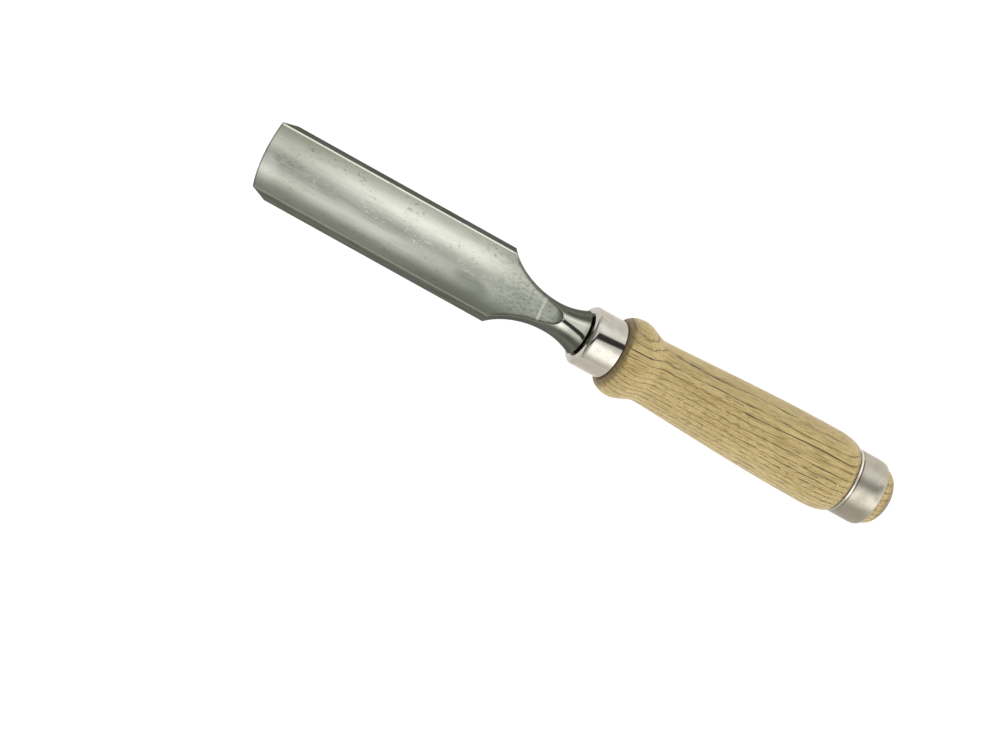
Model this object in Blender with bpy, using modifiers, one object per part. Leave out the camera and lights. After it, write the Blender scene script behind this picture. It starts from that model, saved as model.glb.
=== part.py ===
"""Firmer gouge: a hollow-ground blade with a tang, a ferrule, a turned handle and a striking hoop.

Frame, in metres: +X runs from the cutting edge to the striking end, +Z points out of the trough,
and Y crosses the tool. The origin is under the middle of the tool, in the plane of the flat on
the underside of the handle. Stations are distances along the tool from the cutting edge, and
heights are measured from the handle's centre line.
"""

import math

import bmesh
import bpy
from mathutils import Matrix

# ---------------------------------------------------------------- driving dimensions

CLEARANCE = 0.0003            # gap left between two pieces that seat on each other

# blade
BLADE_WIDTH = 0.0320          # across the outer corners
BLADE_LENGTH = 0.1099         # cutting edge to the start of the shoulders
BLADE_WALL = 0.00355          # steel between the trough and the back, measured radially
TROUGH_HALF_ANGLE = math.radians(36.5)
RIM_HEIGHT = 0.0082           # edges of the trough above the centre line
GRIND_ANGLE = math.radians(25.0)
EDGE_LAND = 0.00005           # blunt width left at the cutting edge

# neck, bolster and tang
NECK_RADIUS = 0.00642
SHOULDER_RADIUS = 0.0437      # sweep from the blade's sides into the neck
FLARE_RADIUS = 0.0300         # sweep from the neck out to the bolster
BOLSTER_RADIUS = 0.00937
BOLSTER_STAND_OFF = 0.0009    # shadow gap between the bolster and the ferrule
SEAT_RADIUS = 0.0076          # round boss that passes through the ferrule
RAMP_START = 0.0068           # where the trough's floor starts to rise, before the thinnest neck
RAMP_LENGTH = 0.0040
RAMP_ANGLE = math.radians(10.0)
RUN_OUT_RADIUS = 0.0115       # curve after the ramp, in which the trough climbs out of the neck
RUN_OUT_STEEPNESS = 70        # degrees of climb at which that curve is clear of the neck
TANG_LENGTH = 0.0720
TANG_ROOT = 0.0084            # width across the flats where the tang leaves the seat
TANG_TIP = 0.0046
TANG_END_ROOM = 0.0010        # empty bore past the tang's tip

# ferrule
FERRULE_RADIUS = 0.0124
FERRULE_LENGTH = 0.0143
FERRULE_WALL = 0.0013
FERRULE_ROUNDING = 0.0023

# handle
COLLAR_RADIUS = 0.0164
COLLAR_FOOT_RADIUS = 0.0126
COLLAR_RISE = 0.0069
COLLAR_FALL = 0.0112
WAIST_RADIUS = 0.0132
SWELL_LENGTH = 0.0817
SWELL_RADIUS = 0.0161
SWELL_FULLNESS = 1.15         # 1 fills out quickly behind the waist, 2 slowly
TAIL_LENGTH = 0.0102
TAIL_CURVE_LENGTH = 0.0106    # full length of the ellipse that the tail is cut from
TAIL_FOOT_RADIUS = 0.0126
FLAT_HEIGHT = 0.0150          # flats above and below, measured from the centre line
DOME_HEIGHT = 0.0074

# striking hoop
HOOP_RADIUS = 0.0137
HOOP_LENGTH = 0.0135
HOOP_WALL = 0.0014
HOOP_ROUNDING_LENGTH = 0.0034 # rear outer edge, rounded along the tool
HOOP_FRONT_BEVEL = 0.0005
HOOP_REAR_RIM = 0.0002        # flat left on the rear edge inside the rounding

# smoothness
TURNED_STEPS = 48             # round the tool
QUARTER = TURNED_STEPS // 4
CUTTER_STEPS = 120
SHOULDER_STATIONS = 12
FLARE_STATIONS = 6
CLIMB_STEPS = 12
ROUNDING_STEPS = 6
DOME_STEPS = 8
TAIL_STEPS = 6
SWELL_STEPS = 10
FALL_STEPS = 8
BEAD_STEPS = 7
SHARP_ANGLE = math.radians(30.0)

CUTTER_MARGIN = 0.002         # how far a cutter runs past what it cuts
MERGE_DISTANCE = 0.00001

# ---------------------------------------------------------------- derived dimensions

TROUGH_RADIUS = (BLADE_WIDTH / 2) / math.sin(TROUGH_HALF_ANGLE) - BLADE_WALL
BACK_RADIUS = TROUGH_RADIUS + BLADE_WALL
TROUGH_AXIS_HEIGHT = RIM_HEIGHT + TROUGH_RADIUS * math.cos(TROUGH_HALF_ANGLE)


def arc_reach(radius, rise):
    """Length that an arc needs to turn away from its tangent by the given rise."""
    return math.sqrt(radius ** 2 - (radius - rise) ** 2)


NECK_X = BLADE_LENGTH + arc_reach(SHOULDER_RADIUS, BLADE_WIDTH / 2 - NECK_RADIUS)
BOLSTER_X = NECK_X + arc_reach(FLARE_RADIUS, BOLSTER_RADIUS - NECK_RADIUS)
FERRULE_X = BOLSTER_X + BOLSTER_STAND_OFF
TENON_X = FERRULE_X + FERRULE_WALL + CLEARANCE
SEAT_X = TENON_X - CLEARANCE
TANG_END_X = SEAT_X + TANG_LENGTH
COLLAR_X = FERRULE_X + FERRULE_LENGTH + CLEARANCE
BEAD_X = COLLAR_X + COLLAR_RISE
WAIST_X = BEAD_X + COLLAR_FALL
SWELL_X = WAIST_X + SWELL_LENGTH
TAIL_X = SWELL_X + TAIL_LENGTH
HOOP_X = TAIL_X + CLEARANCE
HOOP_END_X = HOOP_X + HOOP_LENGTH
HANDLE_END_X = HOOP_END_X + DOME_HEIGHT

FRONT_TENON_RADIUS = FERRULE_RADIUS - FERRULE_WALL - CLEARANCE
REAR_TENON_RADIUS = HOOP_RADIUS - HOOP_WALL - CLEARANCE
OVERALL_LENGTH = HANDLE_END_X

# ---------------------------------------------------------------- scene and materials

for leftover in list(bpy.data.objects):
    bpy.data.objects.remove(leftover, do_unlink=True)


def new_collection(name):
    collection = bpy.data.collections.new(name)
    bpy.context.scene.collection.children.link(collection)
    return collection


PARTS = new_collection("firmer_gouge")
CUTTERS = new_collection("cutters")

centre_line = bpy.data.objects.new("centre_line", None)
centre_line.location = (-OVERALL_LENGTH / 2, 0.0, FLAT_HEIGHT)
PARTS.objects.link(centre_line)


def new_material(name, colour, roughness, metallic):
    material = bpy.data.materials.new(name)
    material.use_nodes = True
    shader = material.node_tree.nodes["Principled BSDF"]
    shader.inputs["Base Color"].default_value = (*colour, 1.0)
    shader.inputs["Roughness"].default_value = roughness
    shader.inputs["Metallic"].default_value = metallic
    return material


ground_steel = new_material("ground_steel", (0.50, 0.51, 0.46), 0.32, 1.0)
plated_ferrule = new_material("plated_ferrule", (0.68, 0.66, 0.62), 0.12, 1.0)
plated_hoop = new_material("plated_hoop", (0.62, 0.60, 0.55), 0.22, 1.0)
turned_ash = new_material("turned_ash", (0.52, 0.40, 0.21), 0.55, 0.0)

# ---------------------------------------------------------------- helpers


def place(name, mesh, collection, material=None):
    """Put a mesh on the tool's centre line as a named object."""
    obj = bpy.data.objects.new(name, mesh)
    obj.parent = centre_line
    collection.objects.link(obj)
    if material is None:
        obj.hide_render = True
        obj.display_type = "WIRE"
    else:
        mesh.materials.append(material)
    return obj


def arc(centre, radii, start, end, steps):
    """Points (radius, station) on an elliptical arc, both ends included."""
    points = []
    for i in range(steps + 1):
        angle = math.radians(start + (end - start) * i / steps)
        across = centre[0] + radii[0] * math.cos(angle)
        along = centre[1] + radii[1] * math.sin(angle)
        points.append((across, along))
    return points


def turned(name, outline, collection, material=None, steps=TURNED_STEPS, ring=False, height=0.0):
    """Turn an outline of (radius, station) points about a line along the tool."""
    mesh = bpy.data.meshes.new(name)
    verts = [(radius, 0.0, station) for radius, station in outline]
    edges = [(i, i + 1) for i in range(len(verts) - 1)]
    if ring:
        edges.append((len(verts) - 1, 0))
    mesh.from_pydata(verts, edges, [])
    obj = place(name, mesh, collection, material)
    obj.location = (0.0, 0.0, height)
    obj.rotation_euler = (0.0, math.pi / 2, 0.0)
    screw = obj.modifiers.new("turn", "SCREW")
    screw.steps = steps
    screw.render_steps = steps
    screw.use_merge_vertices = True
    screw.merge_threshold = MERGE_DISTANCE
    screw.use_smooth_shade = True
    return obj


def box(name, low, high):
    """A box cutter between two corners, in the tool's own stations and heights."""
    size = [high[i] - low[i] for i in range(3)]
    middle = [(high[i] + low[i]) / 2 for i in range(3)]
    shape = bmesh.new()
    bmesh.ops.create_cube(shape, size=1.0, matrix=Matrix.Diagonal((*size, 1.0)))
    mesh = bpy.data.meshes.new(name)
    shape.to_mesh(mesh)
    shape.free()
    obj = place(name, mesh, CUTTERS)
    obj.location = middle
    return obj


def cut(target, cutter):
    boolean = target.modifiers.new(f"cut_{cutter.name}", "BOOLEAN")
    boolean.operation = "DIFFERENCE"
    boolean.solver = "EXACT"
    boolean.object = cutter


# ---------------------------------------------------------------- blade, neck, bolster and tang


def shoulder_half_width(station):
    """Plan half-width between the shoulders and the thinnest part of the neck."""
    away = NECK_X - station
    return NECK_RADIUS + SHOULDER_RADIUS - math.sqrt(SHOULDER_RADIUS ** 2 - away ** 2)


def flare_radius(station):
    """Radius of the round neck between its thinnest part and the bolster."""
    away = station - NECK_X
    return NECK_RADIUS + FLARE_RADIUS - math.sqrt(FLARE_RADIUS ** 2 - away ** 2)


def trough_point(distance, angle):
    """Point (y, z) at a distance from the trough's axis, at an angle from straight down."""
    return distance * math.sin(angle), TROUGH_AXIS_HEIGHT - distance * math.cos(angle)


def blade_section(half_width):
    """Blade before its trough is cut: a radial wall each side, a chord on top, a round back."""
    spread = math.asin(half_width / BACK_RADIUS)
    corner = trough_point(BACK_RADIUS, spread)
    top = trough_point(TROUGH_RADIUS - CLEARANCE, spread)
    half_quarter = QUARTER // 2
    wall = []
    for i in range(half_quarter):
        share = i / half_quarter
        wall.append((corner[0] + (top[0] - corner[0]) * share, corner[1] + (top[1] - corner[1]) * share))
    chord = [(top[0] * (1 - 2 * i / QUARTER), top[1]) for i in range(QUARTER + 1)]
    other_wall = [(-y, z) for y, z in reversed(wall)]
    back = [trough_point(BACK_RADIUS, spread * (i / QUARTER - 1)) for i in range(1, 2 * QUARTER)]
    return wall + chord + other_wall + back


def round_section(radius):
    """A circle with its points in the same order as a blade section's."""
    turns = [2 * math.pi * i / TURNED_STEPS for i in range(TURNED_STEPS)]
    return [(radius * math.cos(turn), radius * math.sin(turn)) for turn in turns]


def square_section(width):
    """A square with its points in the same order as a round section's."""
    points = []
    for y, z in round_section(1.0):
        reach = width / 2 / max(abs(y), abs(z))
        points.append((y * reach, z * reach))
    return points


def shoulder_section(share):
    """Section between the shoulders (share 0) and the thinnest part of the neck (share 1)."""
    station = BLADE_LENGTH + (NECK_X - BLADE_LENGTH) * share
    half_width = shoulder_half_width(station)
    blend = share * share * (3 - 2 * share)
    pairs = zip(blade_section(half_width), round_section(half_width))
    return station, [(a[0] + (b[0] - a[0]) * blend, a[1] + (b[1] - a[1]) * blend) for a, b in pairs]


def loft(name, sections, collection, material):
    """Skin a row of (station, points) sections and close both ends."""
    shape = bmesh.new()
    rings = []
    for station, points in sections:
        rings.append([shape.verts.new((station, y, z)) for y, z in points])
    for near, far in zip(rings, rings[1:]):
        for i in range(len(near)):
            j = (i + 1) % len(near)
            shape.faces.new((near[i], near[j], far[j], far[i]))
    shape.faces.new(list(reversed(rings[0])))
    shape.faces.new(rings[-1])
    bmesh.ops.recalc_face_normals(shape, faces=shape.faces)
    mesh = bpy.data.meshes.new(name)
    shape.to_mesh(mesh)
    shape.free()
    mesh.shade_smooth()
    mesh.set_sharp_from_angle(angle=SHARP_ANGLE)
    return place(name, mesh, collection, material)


def forging_sections():
    sections = [(0.0, blade_section(BLADE_WIDTH / 2))]
    sections += [shoulder_section(i / SHOULDER_STATIONS) for i in range(SHOULDER_STATIONS + 1)]
    for i in range(1, FLARE_STATIONS + 1):
        station = NECK_X + (BOLSTER_X - NECK_X) * i / FLARE_STATIONS
        sections.append((station, round_section(flare_radius(station))))
    sections.append((BOLSTER_X, round_section(SEAT_RADIUS)))
    sections.append((SEAT_X, round_section(SEAT_RADIUS)))
    sections.append((SEAT_X, square_section(TANG_ROOT)))
    sections.append((TANG_END_X, square_section(TANG_TIP)))
    return sections


def trough_outline():
    """Full radius up to the neck, then a ramp and a curve that lift the trough out of the neck."""
    start = NECK_X - RAMP_START
    ramp_end = (TROUGH_RADIUS - RAMP_LENGTH * math.tan(RAMP_ANGLE), start + RAMP_LENGTH)
    across = ramp_end[0] - RUN_OUT_RADIUS * math.cos(RAMP_ANGLE)
    along = ramp_end[1] - RUN_OUT_RADIUS * math.sin(RAMP_ANGLE)
    radii = (RUN_OUT_RADIUS, RUN_OUT_RADIUS)
    climb = arc((across, along), radii, RUN_OUT_STEEPNESS, math.degrees(RAMP_ANGLE), CLIMB_STEPS)
    floor = [(TROUGH_RADIUS, start), (TROUGH_RADIUS, -CUTTER_MARGIN), (0.0, -CUTTER_MARGIN)]
    return [(0.0, climb[0][1])] + climb + floor


def grind_outline():
    """Ring that leaves the back of the blade as a cone running out to the cutting edge."""
    slope = math.tan(GRIND_ANGLE)
    length = BLADE_WALL / slope + CUTTER_MARGIN
    outer = BACK_RADIUS + CUTTER_MARGIN * 2
    edge = TROUGH_RADIUS + EDGE_LAND
    return [
        (outer, length),
        (outer, -CUTTER_MARGIN),
        (edge - CUTTER_MARGIN * slope, -CUTTER_MARGIN),
        (edge + length * slope, length),
    ]


gouge_blade = loft("gouge_blade", forging_sections(), PARTS, ground_steel)
trough_cutter = turned("trough", trough_outline(), CUTTERS, steps=CUTTER_STEPS, height=TROUGH_AXIS_HEIGHT)
grind_cutter = turned(
    "grind", grind_outline(), CUTTERS, steps=CUTTER_STEPS, ring=True, height=TROUGH_AXIS_HEIGHT
)
cut(gouge_blade, trough_cutter)
cut(gouge_blade, grind_cutter)

# ---------------------------------------------------------------- ferrule


def ferrule_outline():
    """Cup over the handle's front tenon, with its front lip turned in around the tang's seat."""
    rear = FERRULE_X + FERRULE_LENGTH
    rounding = FERRULE_ROUNDING
    nose_centre = (FERRULE_RADIUS - rounding, FERRULE_X + rounding)
    nose = arc(nose_centre, (rounding, rounding), 0, -90, ROUNDING_STEPS)
    hole = SEAT_RADIUS + CLEARANCE
    inside = FERRULE_RADIUS - FERRULE_WALL
    lip = FERRULE_X + FERRULE_WALL
    return [(FERRULE_RADIUS, rear)] + nose + [(hole, FERRULE_X), (hole, lip), (inside, lip), (inside, rear)]


front_ferrule = turned("front_ferrule", ferrule_outline(), PARTS, plated_ferrule, ring=True)

# ---------------------------------------------------------------- handle


def fall_to_waist(share):
    """From the top of the collar's bead down to the waist."""
    drop = (1 - math.cos(math.pi * share)) / 2
    return COLLAR_RADIUS + (WAIST_RADIUS - COLLAR_RADIUS) * drop, BEAD_X + COLLAR_FALL * share


def swell(share):
    """From the waist out to the thickest part of the grip."""
    rise = math.sin(math.pi / 2 * share) ** SWELL_FULLNESS
    return WAIST_RADIUS + (SWELL_RADIUS - WAIST_RADIUS) * rise, WAIST_X + SWELL_LENGTH * share


def handle_outline():
    """From the domed striking end down the outside to the front tenon's end face."""
    dome = arc((0.0, HOOP_END_X), (REAR_TENON_RADIUS, DOME_HEIGHT), 90, 0, DOME_STEPS)
    rear_tenon = [(REAR_TENON_RADIUS, TAIL_X)]
    tail_end = math.degrees(math.asin(TAIL_LENGTH / TAIL_CURVE_LENGTH))
    tail_radii = (SWELL_RADIUS - TAIL_FOOT_RADIUS, TAIL_CURVE_LENGTH)
    tail = arc((TAIL_FOOT_RADIUS, SWELL_X), tail_radii, tail_end, 0, TAIL_STEPS)
    grip = [swell(1 - i / SWELL_STEPS) for i in range(1, SWELL_STEPS)]
    waist = [fall_to_waist(1 - i / FALL_STEPS) for i in range(FALL_STEPS)]
    bead_radii = (COLLAR_RADIUS - COLLAR_FOOT_RADIUS, COLLAR_RISE)
    bead = arc((COLLAR_FOOT_RADIUS, BEAD_X), bead_radii, 0, -90, BEAD_STEPS)
    front_tenon = [(FRONT_TENON_RADIUS, COLLAR_X), (FRONT_TENON_RADIUS, TENON_X), (0.0, TENON_X)]
    return dome + rear_tenon + tail + grip + waist + bead + front_tenon


def tang_bore():
    """Square taper that follows the tang with clearance all round and room past its tip."""
    start = TENON_X - CUTTER_MARGIN
    end = TANG_END_X + TANG_END_ROOM
    taper = (TANG_TIP - TANG_ROOT) / TANG_LENGTH

    def width_at(station):
        return TANG_ROOT + taper * (station - SEAT_X) + 2 * CLEARANCE

    shape = bmesh.new()
    bmesh.ops.create_cone(
        shape,
        cap_ends=True,
        segments=4,
        radius1=width_at(start) / math.sqrt(2),
        radius2=width_at(end) / math.sqrt(2),
        depth=end - start,
        matrix=Matrix.Rotation(math.pi / 4, 4, "Z"),
    )
    mesh = bpy.data.meshes.new("tang_bore")
    shape.to_mesh(mesh)
    shape.free()
    obj = place("tang_bore", mesh, CUTTERS)
    obj.location = ((start + end) / 2, 0.0, 0.0)
    obj.rotation_euler = (0.0, math.pi / 2, 0.0)
    return obj


handle = turned("handle", handle_outline(), PARTS, turned_ash)
cut(handle, tang_bore())
outside = COLLAR_RADIUS + CUTTER_MARGIN
upper_flat = box("upper_flat", (COLLAR_X, -outside, FLAT_HEIGHT), (TAIL_X, outside, outside))
lower_flat = box("lower_flat", (COLLAR_X, -outside, -outside), (TAIL_X, outside, -FLAT_HEIGHT))
cut(handle, upper_flat)
cut(handle, lower_flat)

# ---------------------------------------------------------------- striking hoop


def hoop_outline():
    """Ring with a small bevel at the front and a long rounding at the rear outer edge."""
    inside = HOOP_RADIUS - HOOP_WALL
    foot = inside + HOOP_REAR_RIM
    rounding_radii = (HOOP_RADIUS - foot, HOOP_ROUNDING_LENGTH)
    rounding_centre = (foot, HOOP_END_X - HOOP_ROUNDING_LENGTH)
    rounding = arc(rounding_centre, rounding_radii, 90, 0, ROUNDING_STEPS)
    front = [(HOOP_RADIUS, HOOP_X + HOOP_FRONT_BEVEL), (HOOP_RADIUS - HOOP_FRONT_BEVEL, HOOP_X)]
    return rounding + front + [(inside, HOOP_X), (inside, HOOP_END_X)]


striking_hoop = turned("striking_hoop", hoop_outline(), PARTS, plated_hoop, ring=True)
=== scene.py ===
# %% [markdown]
# # A firmer gouge in four pieces
#
# A firmer gouge is a chisel whose blade is a trough. The steel is one forging: blade, waisted
# neck, bolster, and a tang that is driven into the handle. A plated ferrule stops the wood from
# splitting round the tang, and a plated hoop stops the mallet from spreading the other end. This
# lesson dresses the imported model of that tool: it makes a fine surface for each piece and gives
# each one its finish.
#
# The imported model is loaded first. It sets the sizes, and everything made below has to stay
# inside its box. It sets the sizes, and its boxes are read before anything is added.

# %% Load the imported model
import math
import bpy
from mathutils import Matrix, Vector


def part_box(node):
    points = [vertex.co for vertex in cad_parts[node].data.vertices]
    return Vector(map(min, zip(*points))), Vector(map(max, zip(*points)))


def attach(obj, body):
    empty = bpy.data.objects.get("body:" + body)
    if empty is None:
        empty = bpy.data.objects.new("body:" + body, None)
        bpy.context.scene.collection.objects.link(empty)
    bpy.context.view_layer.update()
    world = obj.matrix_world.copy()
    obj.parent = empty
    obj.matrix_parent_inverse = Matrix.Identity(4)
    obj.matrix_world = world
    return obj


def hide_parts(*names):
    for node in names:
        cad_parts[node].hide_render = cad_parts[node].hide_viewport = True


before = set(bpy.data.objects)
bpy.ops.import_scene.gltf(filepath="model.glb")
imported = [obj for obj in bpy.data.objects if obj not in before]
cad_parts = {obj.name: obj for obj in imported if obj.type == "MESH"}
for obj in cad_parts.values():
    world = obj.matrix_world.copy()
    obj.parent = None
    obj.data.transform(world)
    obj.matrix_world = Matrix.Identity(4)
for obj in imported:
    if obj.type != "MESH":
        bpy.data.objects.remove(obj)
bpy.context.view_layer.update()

from types import SimpleNamespace

import bmesh
import bpy
from mathutils import Matrix, Vector

print("packed nodes:", sorted(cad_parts))

# %% [markdown]
# The tool lies along X, with the cutting edge at the low end. A maker measures along the tool
# from the cutting edge, so the lesson does too and calls such a distance a station. Heights are
# measured from the centre line on which the handle is turned, which is half-way between the
# handle's flats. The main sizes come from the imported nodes. The few that a box can't give, such
# as a wall or a rounding, are named beside the piece that uses them.

# %% Stations and the centre line
blade_low, blade_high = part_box("gouge_blade")
handle_low, handle_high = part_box("handle")
ferrule_low, ferrule_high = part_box("front_ferrule")
hoop_low, hoop_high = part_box("striking_hoop")

EDGE_X = blade_low.x
FLAT_HEIGHT = (handle_high.z - handle_low.z) / 2
CENTRE_HEIGHT = (handle_high.z + handle_low.z) / 2
CLEARANCE = 0.0003
MILLIMETRES = 1000


def station(x):
    """Distance along the tool from the cutting edge."""
    return x - EDGE_X


length, thickness = station(handle_high.x) * MILLIMETRES, 2 * FLAT_HEIGHT * MILLIMETRES
print(f"tool {length:.1f} mm long, {thickness:.1f} mm across the flats")

# %% [markdown]
# ## Making a mesh
#
# All four pieces are made from points in stations and heights. One helper moves them to their
# place in the frame, closes seams and poles by merging points that coincide, turns the faces
# outwards, and shades everything smooth except at real edges. Each object itself stays at the
# origin, with its place in its mesh, so a pattern that reads Object coordinates can't slide.

# %% One helper for finished meshes
SEAM = 0.000001
EDGE_ANGLE = math.radians(24)


def finished_piece(name, mesh, finish):
    """Close the mesh, face it outwards, shade it and show it as a piece."""
    shape = bmesh.new()
    shape.from_mesh(mesh)
    bmesh.ops.remove_doubles(shape, verts=shape.verts, dist=SEAM)
    bmesh.ops.dissolve_degenerate(shape, edges=shape.edges, dist=SEAM / 10)
    bmesh.ops.recalc_face_normals(shape, faces=shape.faces)
    bmesh.ops.translate(shape, verts=shape.verts, vec=(EDGE_X, 0.0, CENTRE_HEIGHT))
    loose = sum(1 for edge in shape.edges if len(edge.link_faces) != 2)
    shape.to_mesh(mesh)
    shape.free()
    mesh.shade_smooth()
    mesh.set_sharp_from_angle(angle=EDGE_ANGLE)
    mesh.materials.clear()
    mesh.materials.append(finish)
    piece = bpy.data.objects.new(name, mesh)
    bpy.context.scene.collection.objects.link(piece)
    print(f"{name}: {len(mesh.polygons)} faces, {loose} open edges")
    return piece


print(f"points closer than {SEAM * MILLIMETRES:.3f} mm will be merged")

# %% [markdown]
# ## Shader maths
#
# A finish is a sum of many small effects, and sums are easier to read as Python than as a web of
# nodes. `Quantity` wraps a shader socket, and adding or multiplying two of them adds the Math
# node. `Recipe` holds one node tree and adds every other node through one method. A colour is
# laid on in coats, as a painter would: a base, then one tint after another, each with its own
# share.

# %% Quantities that can be added and multiplied
class Quantity:
    """A number that changes over a surface: a shader socket that Python can calculate with."""

    def __init__(self, recipe, socket):
        self.recipe = recipe
        self.socket = socket

    def maths(self, operation, *values):
        sockets = dict(enumerate((self, *values)))
        return self.recipe.node("ShaderNodeMath", {"operation": operation}, sockets)

    def __add__(self, other):
        return self.maths("ADD", other)

    def __sub__(self, other):
        return self.maths("SUBTRACT", other)

    def __rsub__(self, other):
        return (self * -1) + other

    def __mul__(self, other):
        return self.maths("MULTIPLY", other)

    def __truediv__(self, other):
        return self.maths("DIVIDE", other)

    def __pow__(self, other):
        return self.maths("POWER", other)

    __radd__ = __add__
    __rmul__ = __mul__

    def size(self):
        return self.maths("ABSOLUTE")

    def root(self):
        return self.maths("SQRT")

    def between(self, low, high):
        """Glide from 0 at low to 1 at high. It glides down where low is the larger of the two."""
        settings = {"interpolation_type": "SMOOTHSTEP"}
        sockets = {"Value": self, "From Min": low, "From Max": high}
        return self.recipe.node("ShaderNodeMapRange", settings, sockets)


print("quantities add, subtract, multiply, divide, take powers and glide")

# %% One recipe for each node tree
class Recipe:
    """A node tree that is filled by asking for nodes."""

    def __init__(self, tree):
        self.tree = tree

    def feed(self, socket, value):
        if isinstance(value, Quantity):
            self.tree.links.new(value.socket, socket)
        else:
            socket.default_value = value

    def node(self, kind, settings=None, sockets=None, output=0):
        """Add a node, set it up, feed its sockets and return one of its outputs."""
        node = self.tree.nodes.new(kind)
        for name, value in (settings or {}).items():
            setattr(node, name, value)
        for name, value in (sockets or {}).items():
            self.feed(node.inputs[name], value)
        return Quantity(self, node.outputs[output])

    def vector(self, x, y, z):
        return self.node("ShaderNodeCombineXYZ", sockets={0: x, 1: y, 2: z})

    def parts(self, vector):
        """The X, Y and Z of a vector."""
        x = self.node("ShaderNodeSeparateXYZ", sockets={0: vector})
        return [Quantity(self, output) for output in x.socket.node.outputs]

    def facing(self):
        """The X, Y and Z of the surface's own normal."""
        return self.parts(self.node("ShaderNodeTexCoord", output="Normal"))

    def place(self, stretch=(1.0, 1.0, 1.0), centre=(0.0, 0.0, 0.0)):
        """Object coordinates in millimetres from a centre, squeezed or drawn out on each axis."""
        here = self.node("ShaderNodeTexCoord", output="Object")
        scale = [MILLIMETRES * share for share in stretch]
        shift = [-place * size for place, size in zip(centre, scale)]
        sockets = {"Vector": here, "Location": shift, "Scale": scale}
        return self.node("ShaderNodeMapping", sockets=sockets)

    def mark(self, name):
        """A number that the mesh itself carries."""
        return self.node("ShaderNodeAttribute", {"attribute_name": name}, output="Fac")


print("recipes can be filled")

# %% Noise and colour
def paint(red, green, blue):
    """A paint maker's 0 to 255, turned into the light values that Blender uses, and opaque."""
    def light(value):
        share = value / 255
        return share / 12.92 if share <= 0.04045 else ((share + 0.055) / 1.055) ** 2.4
    return (light(red), light(green), light(blue), 1.0)


class PatternRecipe(Recipe):
    """A recipe that also knows noise and colour."""

    def noise(self, where, size, detail=3.0, roughness=0.5):
        """Cloudy noise from 0 to 1, whose blobs are about this many millimetres across."""
        sockets = {"Vector": where, "Scale": 1 / size, "Detail": detail, "Roughness": roughness}
        return self.node("ShaderNodeTexNoise", {"noise_dimensions": "3D"}, sockets)

    def drawn_out(self, stretch, size, **more):
        """Noise whose blobs are long marks along the tool. The smaller the stretch, the longer."""
        return self.noise(self.place(stretch=(stretch, 1.0, 1.0)), size, **more)

    def mix(self, share, base, other):
        """Blend two colours. 6 and 7 are the node's colour sockets, and its colour output is 2."""
        sockets = {0: share, 6: base, 7: other}
        return self.node("ShaderNodeMix", {"data_type": "RGBA"}, sockets, output=2)

    def coats(self, base, *coats):
        """Lay coats of colour over a base, each with its own share."""
        for share, tint in coats:
            base = self.mix(share, base, tint)
        return base


print("mid grey in light values:", round(paint(128, 128, 128)[0], 3))

# %% A finish is a recipe that ends in one shader
class Finish(PatternRecipe):
    """One material: a recipe whose last node is the Principled shader."""

    def __init__(self, name, **constants):
        self.material = bpy.data.materials.new(name)
        self.material.use_nodes = True
        super().__init__(self.material.node_tree)
        self.shader = self.tree.nodes["Principled BSDF"]
        for socket, value in constants.items():
            self.shader.inputs[socket.replace("_", " ")].default_value = value

    def set(self, socket, value):
        self.feed(self.shader.inputs[socket], value)

    def relief(self, height, depth):
        """Raise the surface by height times depth, in millimetres."""
        sockets = {"Height": height, "Distance": depth / MILLIMETRES}
        self.set("Normal", self.node("ShaderNodeBump", sockets=sockets))


print("shader helpers ready")

# %% [markdown]
# ## Steel
#
# The blade is one forging with two finishes. The trough is ground and polished enough to show
# soft bands of light. The rest, from the edges of the trough to the bolster, is only brushed, and
# its colour carries painted light where it faces up and painted shade down the sides. The finish
# tells the two apart by marks that the mesh carries, because neither height nor direction can.
# Fine scratches follow the grinding along the tool, the grinding fades into a mottled patch at the
# shoulders, and dents, smudges and clouds come from use. The walls of the trough are painted
# darker than its floor: painted shade that follows the way they face.

# %% What the finish knows about a point of the steel
RUN_OUT = (98.0, 122.0)
SMUDGE_START = (2.0, 6.0)
SMUDGE_END = (22.0, 11.0)
TROUGH_ONLY = (0.3, 0.7)


def steel_point(steel):
    """Places, marks and patterns by name. Lengths are in millimetres."""
    where = steel.place(centre=(EDGE_X, 0.0, CENTRE_HEIGHT))
    along, across, _ = steel.parts(where)
    _, lean, _ = steel.facing()
    in_trough = steel.mark("ground").between(*TROUGH_ONLY)
    worn = steel.drawn_out(0.5, 7.0, detail=1.0).between(0.45, 0.62)
    smudge = steel.drawn_out(0.22, 0.8, detail=4.0, roughness=0.7).between(0.32, 0.66)
    smudge = smudge * along.between(*SMUDGE_START) * along.between(*SMUDGE_END)
    smudge = smudge * across.between(5.0, 2.4) * across.between(-2.4, 0.6)
    return SimpleNamespace(
        along=along,
        across=across,
        lean=lean,
        in_trough=in_trough,
        rim=steel.mark("rim"),
        from_rim=steel.mark("from_rim") * MILLIMETRES,
        run_out=along.between(*RUN_OUT),
        scratches=steel.drawn_out(0.03, 0.22, detail=2.0),
        streaks=steel.drawn_out(0.10, 1.3, detail=4.0, roughness=0.6),
        clouds=steel.drawn_out(0.4, 8.0, detail=4.0, roughness=0.55),
        mottle=steel.drawn_out(0.6, 1.0, detail=4.0, roughness=0.7),
        grit=steel.noise(where, 0.5, roughness=0.65),
        dents=steel.drawn_out(0.45, 0.8).between(0.60, 0.68) * worn * in_trough,
        smudge=smudge,
    )


print(f"the grinding fades from {RUN_OUT[0]:.0f} to {RUN_OUT[1]:.0f} mm")

# %% Colour of the trough
DULL_PATCH_ALONG, DULL_PATCH_ACROSS = 99.0, -5.5
DULL_PATCH_LENGTH, DULL_PATCH_WIDTH = 11.0, 5.0
# A bright line is painted across the trough near where the ramp starts.
BRIGHT_LINE_STATION = 130.6
BRIGHT_LINE_FADE = (0.9, 0.2)
TONGUE_SHADE = (3.6, 0.4)


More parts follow.
